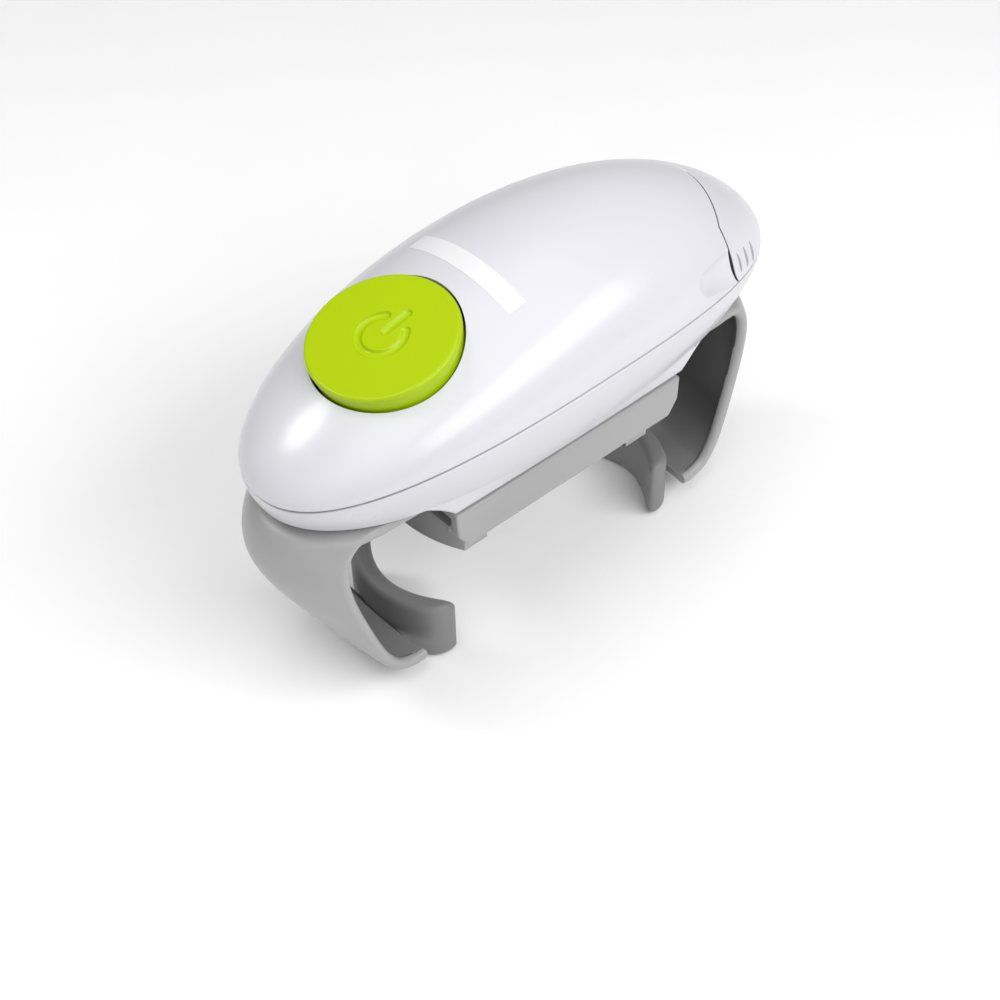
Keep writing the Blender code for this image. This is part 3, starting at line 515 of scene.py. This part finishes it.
def dome_shell(name, rows, place_of, border, pole_first, scooped):
    """A wall of the dome, closed all round, with rounded borders. It starts or ends in the body's tip."""
    half = graded([(0.0, 5), (0.012, 10), (0.2, 52), (0.75, 24), (math.pi / 2, 0)])
    turns = half + [math.pi - turn for turn in reversed(half[:-1])]
    bm = bmesh.new()
    outer, inner = [], []
    for row in rows:
        first, second = [], []
        for turn in turns:
            x = place_of(row, turn)
            place, normal = dome_point(x, turn), dome_normal(x, turn)
            to_rim = min(turn, math.pi - turn) * crest_height(x)
            drop = max(rounded_drop(to_rim, EDGE), rounded_drop(abs(x - border(turn)), EDGE))
            hollow = scoop_depth(place) if scooped else 0.0
            first.append(bm.verts.new(at(*(place - normal * (drop + hollow)))))
            second.append(bm.verts.new(at(*(place - normal * (WALL + hollow)))))
        outer.append(first)
        inner.append(second)
    skin(bm, outer, False)
    skin(bm, inner, False)
    end = -1 if pole_first else 0
    sides = len(bm.faces)
    skin(bm, [outer[end], inner[end]], False)
    for j in (0, -1):
        skin(bm, [[row[j] for row in outer], [row[j] for row in inner]], False)
    for face in list(bm.faces)[sides:]:
        face.material_index = 1
    bmesh.ops.remove_doubles(bm, verts=bm.verts, dist=1e-7)
    bmesh.ops.dissolve_degenerate(bm, edges=bm.edges, dist=1e-8)
    shell = piece_from(name, bm, SHELL)
    shell.data.materials.append(SHADOW)
    return shell


def top_place(row, turn):
    end = math.acos(-seam_x(turn) / HALF_LENGTH)
    return -HALF_LENGTH * math.cos(end * row)


def cap_place(row, turn):
    start = math.acos(-seam_end(turn) / HALF_LENGTH)
    return -HALF_LENGTH * math.cos(start + (math.pi - start) * row)


def make_upper_shell():
    rows = graded([(0.0, 90), (0.8, 44), (0.996, 5), (1.0, 0)])
    shell = dome_shell("upper_shell", rows, top_place, seam_x, True, True)
    combine(shell, drill("button_opening", HOLE_RADIUS, -34.0, 16.0, BUTTON_FRAME, 160))
    smooth_shade(shell)
    stand_for(shell, "housing", "shell_white", "top_cover")


def make_battery_cap():
    rows = graded([(0.0, 5), (0.008, 60), (1.0, 0)])
    cap = dome_shell("battery_cap", rows, cap_place, seam_end, False, False)
    stand_for(cap, "battery_door", "shell_white", "battery_cover")


def make_ridges():
    """Three raised grip lines on each side of the battery cover, grey with painted shade."""
    steps, around = 16, 10
    bm = bmesh.new()
    for side in (-1, 1):
        for x, low, high in RIDGES:
            rings = []
            for i in range(steps + 1):
                share = i / steps
                place_x = x - RIDGE_LEAN * share
                rise = (low + (high - low) * share - parting_height(place_x)) / crest_height(place_x)
                turn = math.asin(min(max(rise, 0.0), 1.0))
                middle, normal = dome_point(place_x, turn), dome_normal(place_x, turn)
                size = RIDGE_RADIUS * max(math.sin(math.pi * share), 0.02) ** 0.5
                ring = []
                for j in range(around):
                    angle = 2 * math.pi * j / around
                    p = middle + normal * size * 0.7 * math.sin(angle)
                    ring.append(bm.verts.new(at(p.x + size * math.cos(angle), -side * p.y, p.z)))
                rings.append(ring)
            skin(bm, rings, True)
            bm.faces.new(rings[0])
            bm.faces.new(rings[-1])
    ridges = piece_from("cover_grip_ridges", bm, RIDGE_PAINTED_SHADE, 60.0)
    stand_for(ridges, "battery_door", "shell_white")


def make_label():
    """A blank strip of film where the real one has its notice."""
    rows, columns = 8, 48
    bm = bmesh.new()
    sheets = []
    for lift in (0.12, -0.15):
        grid = []
        for i in range(rows + 1):
            x = LABEL_X[0] + (LABEL_X[1] - LABEL_X[0]) * i / rows
            line = []
            for j in range(columns + 1):
                y = LABEL_Y[0] + (LABEL_Y[1] - LABEL_Y[0]) * j / columns
                turn = math.acos(-y / half_width_at(x))
                line.append(bm.verts.new(at(*(dome_point(x, turn) + dome_normal(x, turn) * lift))))
            grid.append(line)
        skin(bm, grid, False)
        sheets.append(grid)
    top, low = sheets
    for i in (0, -1):
        skin(bm, [top[i], low[i]], False)
        skin(bm, [[row[i] for row in top], [row[i] for row in low]], False)
    label = piece_from("blank_label", bm, LABEL, 40.0)
    stand_for(label, "housing", "shell_white")


def plan_point(angle, half_length, half_width):
    x = half_length * math.copysign(abs(math.cos(angle)) ** (2 / PLAN_POWER), math.cos(angle))
    y = half_width * math.copysign(abs(math.sin(angle)) ** (2 / PLAN_POWER), math.sin(angle))
    return x, y * (1 + PLAN_SKEW * x / HALF_LENGTH)


def floor_width(x):
    width = max(1 - abs(x / FLOOR_HALF_LENGTH) ** PLAN_POWER, 0.0) ** (1 / PLAN_POWER) * FLOOR_HALF_WIDTH
    return width * (1 + PLAN_SKEW * x / HALF_LENGTH) - 0.4


def rounded_corners(corners, radius, steps):
    """An open line with its inner corners rounded."""
    line = [corners[0]]
    for before, corner, after in zip(corners, corners[1:], corners[2:]):
        before, corner, after = Vector(before), Vector(corner), Vector(after)
        reach = min(radius, (before - corner).length * 0.45, (after - corner).length * 0.45)
        start = corner + (before - corner).normalized() * reach
        end = corner + (after - corner).normalized() * reach
        for i in range(steps + 1):
            t = i / steps
            line.append(tuple(start * (1 - t) ** 2 + corner * 2 * t * (1 - t) + end * t**2))
    line.append(corners[-1])
    return line


def make_platform():
    """The raised part under the floor, with ends that sweep down to it."""
    slope = PLATFORM_FOOT - PLATFORM_HALF_LENGTH
    rings = []
    for x in graded([(-PLATFORM_FOOT, 18), (-PLATFORM_HALF_LENGTH, 20), (PLATFORM_HALF_LENGTH, 18),
                     (PLATFORM_FOOT, 0)]):
        down = 1 - max(abs(x) - PLATFORM_HALF_LENGTH, 0.0) / slope
        foot = FLOOR + 0.6 + (PLATFORM - FLOOR - 0.6) * down**1.7
        top = floor_width(x + MIDDLE_X)
        low = top + (min(PLATFORM_HALF_WIDTH, top) - top) * down
        roof = FLOOR + 1.1
        line = rounded_corners([(-top, roof), (-low, foot), (low, foot), (top, roof)], 2.4, 5)
        rings.append([(x, y, z) for y, z in line])
    return loft("platform", rings, SHELL)


def floor_height(x):
    return FLOOR + TIP_RISE * max((-x - TIP_START) / (FLOOR_HALF_LENGTH - TIP_START), 0.0) ** 2


def make_lower_shell():
    count = 240
    bm = bmesh.new()
    rows = []
    for level in graded([(0.0, 6), (0.05, 26), (1.0, 0)]):
        row = []
        for i in range(count):
            angle = 2 * math.pi * i / count
            top_x, top_y = plan_point(angle, HALF_LENGTH, HALF_WIDTH)
            low_x, low_y = plan_point(angle, FLOOR_HALF_LENGTH, FLOOR_HALF_WIDTH)
            rim = parting_height(top_x) - PARTING_GAP / 2
            inward = level**SIDE_SWEEP
            floor = floor_height(low_x)
            shrink = 1 - rounded_drop((rim - floor) * level, LIP) / HALF_WIDTH
            x, y = top_x + (low_x - top_x) * inward, top_y + (low_y - top_y) * inward
            row.append(bm.verts.new(at(x * shrink, y * shrink, rim + (floor - rim) * level)))
        rows.append(row)
    for share in (0.95, 0.9, 0.84, 0.78, 0.72, 0.66):
        row = []
        for i in range(count):
            x, y = plan_point(2 * math.pi * i / count, FLOOR_HALF_LENGTH * share, FLOOR_HALF_WIDTH * share)
            row.append(bm.verts.new(at(x, y, floor_height(x))))
        rows.append(row)
    skin(bm, rows, True)
    bm.faces.new(rows[-1])
    shell = piece_from("lower_shell", bm, SHELL)
    shell.data.materials.append(SHADOW)
    round_edges(shell, FLOOR_EDGE, 5, 25.0)
    wall = shell.modifiers.new("wall", "SOLIDIFY")
    wall.thickness = WALL * MM
    wall.offset = -1.0
    wall.material_offset_rim = 1
    apply_modifiers(shell)
    combine(shell, make_platform(), "UNION")
    length, reach = POCKET_HALF_LENGTH, TUNNEL_HALF_WIDTH
    combine(shell, block("pocket", (-length, -reach, TUNNEL_FLOOR), (length, reach, POCKET_ROOF)))
    length, reach = TUNNEL_HALF_LENGTH, TUNNEL_HALF_WIDTH - 0.01
    combine(shell, block("tunnel", (-length, -reach, TUNNEL_FLOOR + 0.01), (length, reach, FLOOR + 0.01)))
    combine(shell, drill("shaft_hole", SHAFT_HOLE, -40.0, -20.0, upright(MIDDLE_X, 0.0), 64))
    for x, y in SCREWS_AT:
        combine(shell, drill("screw_hole", SCREW_HOLE, -40.0, -10.0, upright(x, y)))
        combine(shell, drill("screw_sink", SCREW_SINK, -40.0, FLOOR + 1.2, upright(x, y)))
    smooth_shade(shell)
    stand_for(shell, "housing", "shell_white", "lower_housing")


# Start button


def groove_depth(x, y):
    """The generic start symbol: an open ring and a short bar, as a channel with soft edges."""
    if abs(math.atan2(y, x)) > SYMBOL_OPENING:
        to_ring = abs(math.hypot(x, y) - SYMBOL_RADIUS)
    else:
        end_x, end_y = SYMBOL_RADIUS * math.cos(SYMBOL_OPENING), SYMBOL_RADIUS * math.sin(SYMBOL_OPENING)
        to_ring = math.hypot(x - end_x, abs(y) - end_y)
    low, high = SYMBOL_BAR
    to_bar = math.hypot(x - min(max(x, low), high), y)
    share = min(to_ring, to_bar) / GROOVE_HALF_WIDTH
    return GROOVE_DEPTH * min(1.0, 1.0 - share**4) if share < 1 else 0.0


def make_button():
    rim, flat, rings, count = BUTTON_RADIUS, BUTTON_BRIM - BUTTON_CORNER, 90, 240
    profile = []
    for i in range(rings + 1):
        away = flat * i / rings
        profile.append((away, BUTTON_CROWN * (1 - (away / rim) ** 2) + BUTTON_SHOULDER))
    edge = profile[-1][1]
    for i in range(1, 11):
        turn = math.radians(94) * i / 10
        profile.append((flat + BUTTON_CORNER * math.sin(turn), edge - BUTTON_CORNER * (1 - math.cos(turn))))
    profile += [(rim, -1.9), (rim, -7.6), (rim - 1.8, -7.6), (rim - 1.8, 0.4)]
    profile += [(3.0, 1.2), (3.0, -14.2), (0.0, -14.2)]
    bm = bmesh.new()
    rows = []
    for k, (away, height) in enumerate(profile[1:-1]):
        row = []
        for j in range(count):
            angle = 2 * math.pi * j / count
            x, y = away * math.cos(angle), away * math.sin(angle)
            sunk = groove_depth(x, y) if k < rings else 0.0
            level = BUTTON_LEVEL * x if k < rings + 10 else 0.0
            row.append(bm.verts.new(Vector((x, y, height - sunk - level)) * MM))
        rows.append(row)
    skin(bm, rows, True)
    bm.faces.new(rows[0])
    bm.faces.new(rows[-1])
    bm.transform(BUTTON_FRAME @ Matrix.Translation((0, 0, -BUTTON_DROP * MM)))
    stand_for(piece_from("start_button_cap", bm, GREEN, 50.0), "button", "button_green", "start_button")


def make_return_spring():
    """The coil under the button. It stands on its seat."""
    steps, around = 180, 10
    bm = bmesh.new()
    rings = []
    for i in range(steps + 1):
        angle = 2 * math.pi * SPRING_TURNS * i / steps
        out = Vector((math.cos(angle), math.sin(angle), 0.0))
        middle = out * SPRING_RADIUS + Vector((0.0, 0.0, SPRING_FOOT + SPRING_RISE * i / steps))
        ring = []
        for j in range(around):
            turn = 2 * math.pi * j / around
            place = middle + (out * math.cos(turn) + Vector((0.0, 0.0, math.sin(turn)))) * SPRING_WIRE
            ring.append(bm.verts.new(BUTTON_FRAME @ (place * MM)))
        rings.append(ring)
    skin(bm, rings, True)
    bm.faces.new(rings[0])
    bm.faces.new(rings[-1])
    spring = piece_from("return_spring", bm, STEEL, 60.0)
    stand_for(spring, "housing", "steel", "button_spring")
    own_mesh(spring)


# Arms and pads


def arm_surface(side, out, height, y):
    """The arm's outer skin: a band that bows away from the jar and flattens towards its lip."""
    top, low = ARM_PATH[4][1], ARM_PATH[-1][1]
    fall = min(max((top - height) / (top - low), 0.0), 1.0)
    held = 1 - 0.88 * fall * fall * (3 - 2 * fall)
    inner = min(max((out - ARM_PATH[0][0]) / 20.0, 0.0), 1.0) if height > top else 1.0
    depth, power = ARM_BOW[side]
    bow = depth * (1 - abs(y / ARM_HALF_WIDTH) ** power) * held * inner
    return Vector((side * (out + bow), y, height))


def arm_thickness(y):
    """The wall, with a bead along each rim."""
    near = min(max((abs(y) - (ARM_HALF_WIDTH - ARM_BEAD_WIDTH)) / 1.2, 0.0), 1.0)
    return ARM_WALL + ARM_BEAD * near * near * (3 - 2 * near)


def arm_ring(side, before, here, after):
    """One section of the arm, with half-round rims."""
    bead = (ARM_WALL + ARM_BEAD) / 2
    reach = ARM_HALF_WIDTH - bead
    samples = [reach * math.sin(math.pi / 2 * i / 20) for i in range(-20, 21)]

    def frame_at(y):
        along = arm_surface(side, *after, y) - arm_surface(side, *before, y)
        across = arm_surface(side, *here, y + 0.05) - arm_surface(side, *here, y - 0.05)
        normal = along.cross(across).normalized() * side
        return arm_surface(side, *here, y), normal, across.normalized()

    ring = [place for place, _, _ in map(frame_at, samples)]
    for y, sign in ((reach, 1), (-reach, -1)):
        place, normal, across = frame_at(y)
        middle = place - normal * bead
        for i in range(1, 12):
            turn = math.pi * (i / 12 if sign > 0 else 1 - i / 12)
            ring.append(middle + normal * bead * math.cos(turn) + across * sign * bead * math.sin(turn))
        if sign > 0:
            for inner_y in reversed(samples):
                place, normal, _ = frame_at(inner_y)
                ring.append(place - normal * arm_thickness(inner_y))
    return ring


def paint_arm_inner_shade(arm, side):
    """The inside of the arm, between its beads, gets painted shade: a dark grey that is darker still
    towards the top.
    """
    arm.data.materials.append(ARM_INNER_PAINTED_SHADE)
    middle_x = (BODY_X + MIDDLE_X) * MM
    reach = (ARM_HALF_WIDTH - ARM_BEAD_WIDTH) * MM
    for face in arm.data.polygons:
        out = (face.center.x - middle_x) * side / MM - ARM_SHADE_AXIS[0]
        up = face.center.z / MM - SEAM_Z - ARM_SHADE_AXIS[1]
        inward = face.normal.x * side * out + face.normal.z * up < 0
        face.material_index = int(inward and abs(face.center.y) < reach and len(face.vertices) < 5)


def make_arm(side, word):
    path = smooth_path(ARM_PATH, 8)
    rings = []
    for i, here in enumerate(path):
        before, after = path[max(i - 1, 0)], path[min(i + 1, len(path) - 1)]
        rings.append([tuple(p) for p in arm_ring(side, before, here, after)])
    arm = loft(f"{word}_holding_arm", rings, ARM)
    paint_arm_inner_shade(arm, side)
    round_edges(arm, 1.0, 3, 60.0)
    (near_x, near_y, low_z), (far_x, far_y, high_z) = ARM_NOTCH
    x_low, x_high = sorted((side * near_x, side * far_x))
    y_low, y_high = sorted((-side * near_y, -side * far_y))
    combine(arm, block("notch", (x_low, y_low, low_z), (x_high, y_high, high_z)))
    smooth_shade(arm)
    stand_for(arm, f"{word}_holder", "arm_grey", f"{word}_arm")


def make_pad(side, word):
    """A rubber pad with an arched front, rounded all round."""
    bottom = -SEAM_Z
    turns = [math.pi / 2 * i / 9 for i in range(10)]
    rounding = [(PAD_ROUND * (1 - math.sin(t)), PAD_ROUND * (1 - math.cos(t))) for t in turns]
    levels = [(bottom + rise, inset) for rise, inset in reversed(rounding)]
    levels += [(PAD_TOP - fall, inset) for fall, inset in rounding]
    samples = [math.sin(math.pi / 2 * i / 30) for i in range(-30, 31)]
    rings = []
    for height, inset in levels:
        half = PAD_HALF_WIDTH - inset
        front, back = [], []
        for share in samples:
            y = half * share
            bend = (y / PAD_HALF_WIDTH) ** 2
            near = PAD_FRONT[0] + (PAD_FRONT[1] - PAD_FRONT[0]) * bend
            far = PAD_BACK[0] + (PAD_BACK[1] - PAD_BACK[0]) * bend
            thick = max((far - near) / 2 - inset, 0.3) * max(1 - abs(share) ** 14, 0.0) ** 0.5
            front.append((side * ((near + far) / 2 - thick), y, height))
            back.append((side * ((near + far) / 2 + thick), y, height))
        rings.append(front + back[-2:0:-1])
    pad = loft(f"{word}_rubber_pad", rings, PAD, 50.0)
    stand_for(pad, f"{word}_holder", "pad_grey", f"{word}_grip_pad")


# Carriage and lid jaws


def make_carriage():
    """An inverted channel, open at both ends, with slots below for the jaws."""
    waist_x, waist_z = CARRIAGE_WAIST
    half = [(CARRIAGE_TOP_X, CARRIAGE_TOP), (waist_x, waist_z), (CARRIAGE_BOTTOM_X, CARRIAGE_BOTTOM)]
    outline = half + [(-x, z) for x, z in reversed(half)]
    sides = (-CARRIAGE_HALF_WIDTH, CARRIAGE_HALF_WIDTH)
    carriage = loft("jaw_carriage", [[(x, y, z) for x, z in outline] for y in sides], CARRIAGE)
    round_edges(carriage, 0.9, 4, 20.0)
    (width, low), roof = CHANNEL, CARRIAGE_TOP - CARRIAGE_ROOF
    combine(carriage, block("channel", (-60.0, -width, CARRIAGE_BOTTOM + low), (60.0, width, roof)))
    below, above = CARRIAGE_BOTTOM - 5.0, CARRIAGE_BOTTOM + 3.0
    for start, end in ((-61.0, -CARRIAGE_BAR), (CARRIAGE_BAR, 61.0)):
        slot = (start, -SLOT_HALF_WIDTH, below), (end, SLOT_HALF_WIDTH, above)
        combine(carriage, block("slot", *slot))
    smooth_shade(carriage)
    stand_for(carriage, "turntable", "carriage_grey", "carriage")


def make_jaw(side, word):
    """An arc whose inner face meets the lid's edge, on a plate that slides in the carriage."""
    plate_end, plate_low, plate_high = JAW_PLATE
    hook_x = sorted((side * JAW_OUTER_X, side * JAW_INNER_X))
    plate_x = sorted((side * JAW_OUTER_X, side * plate_end))
    width = JAW_HALF_WIDTH
    jaw = block(f"{word}_jaw", (hook_x[0], -width, JAW_FOOT), (hook_x[1], width, JAW_ROOF))
    axis = upright(MIDDLE_X, 0.0)
    combine(jaw, drill("outer_side", JAW_OUTER_X, JAW_FOOT - 5, -40.0, axis, 200), "INTERSECT")
    combine(jaw, drill("lid_bore", JAW_RADIUS, JAW_FOOT - 5, plate_low, axis, 200))
    combine(jaw, block("plate", (plate_x[0], -width, plate_low), (plate_x[1], width, plate_high)), "UNION")
    jaw.data.materials.clear()
    jaw.data.materials.append(ARM)
    round_edges(jaw, 0.5, 2, 50.0)
    smooth_shade(jaw, 25.0)
    stand_for(jaw, f"{word}_jaw", "arm_grey", f"{word}_lid_jaw")


dress_nodes()
make_upper_shell()
make_battery_cap()
make_ridges()
make_label()
make_lower_shell()
make_button()
make_return_spring()
for side, word in ((-1, "left"), (1, "right")):
    make_arm(side, word)
    make_pad(side, word)
    make_jaw(side, word)
make_carriage()


# Camera, light and floor


def direction_to(azimuth, elevation):
    """The direction from the object to something at these angles in degrees; azimuth 0 is the near side."""
    azimuth, elevation = math.radians(azimuth), math.radians(elevation)
    flat = math.cos(elevation)
    return Vector((math.sin(azimuth) * flat, -math.cos(azimuth) * flat, math.sin(elevation)))


def make_camera():
    """The view that shows the button end first, from above and to the near side."""
    back, roll = direction_to(-40.71, 45.32), math.radians(-1.12)
    right = Vector((0, 0, 1)).cross(back).normalized()
    up = back.cross(right)
    turned_right = right * math.cos(roll) + up * math.sin(roll)
    turned_up = -right * math.sin(roll) + up * math.cos(roll)
    data = bpy.data.cameras.new("camera")
    data.sensor_width = 36.0
    data.lens = 65.39
    data.clip_start = 0.01
    camera = bpy.data.objects.new("camera", data)
    turn = Matrix((turned_right, turned_up, back)).transposed().to_4x4()
    camera.matrix_world = Matrix.Translation(Vector((-0.2997, -0.3402, 0.4799))) @ turn
    bpy.context.scene.collection.objects.link(camera)
    bpy.context.scene.camera = camera


def soft_light(name, azimuth, elevation, distance, size, radiance):
    """A rectangular or round soft box that faces the object; size is (width, height) or (diameter,)."""
    toward = direction_to(azimuth, elevation)
    data = bpy.data.lights.new(name, "AREA")
    data.shape = "RECTANGLE" if len(size) == 2 else "DISK"
    data.size, data.size_y = size[0], size[-1]
    area = size[0] * size[1] if len(size) == 2 else math.pi * size[0] ** 2 / 4
    data.energy = radiance * math.pi * area
    light = bpy.data.objects.new(name, data)
    light.location = Vector((0.0, 0.0, 0.1)) + toward * distance
    light.rotation_euler = toward.to_track_quat("Z", "Y").to_euler()
    bpy.context.scene.collection.objects.link(light)


def make_studio():
    world = bpy.data.worlds.new("studio")
    world.use_nodes = True
    world.node_tree.nodes["Background"].inputs["Color"].default_value = (1.0, 1.0, 1.0, 1.0)
    world.node_tree.nodes["Background"].inputs["Strength"].default_value = 0.24
    bpy.context.scene.world = world
    soft_light("front_light", 14.0, 41.0, 1.0, (1.1, 0.42), 5.0)
    soft_light("left_light", -62.0, 55.0, 1.4, (0.9, 0.9), 1.3)
    soft_light("nose_light", -139.0, 43.0, 1.0, (0.27,), 12.0)
    soft_light("top_light", 0.0, 88.0, 1.5, (1.7, 1.7), 1.1)
    bm = bmesh.new()
    bmesh.ops.create_grid(bm, x_segments=1, y_segments=1, size=3.0)
    floor_material = moulded("studio_floor", (0.97, 0.97, 0.97), 0.8, 30.0, 0.02, 0.005)
    floor = piece_from("studio_floor", bm, floor_material)
    floor.location = (0.0, 0.0, -0.0002)
    bpy.context.scene.view_settings.view_transform = "Standard"


make_camera()
make_studio()
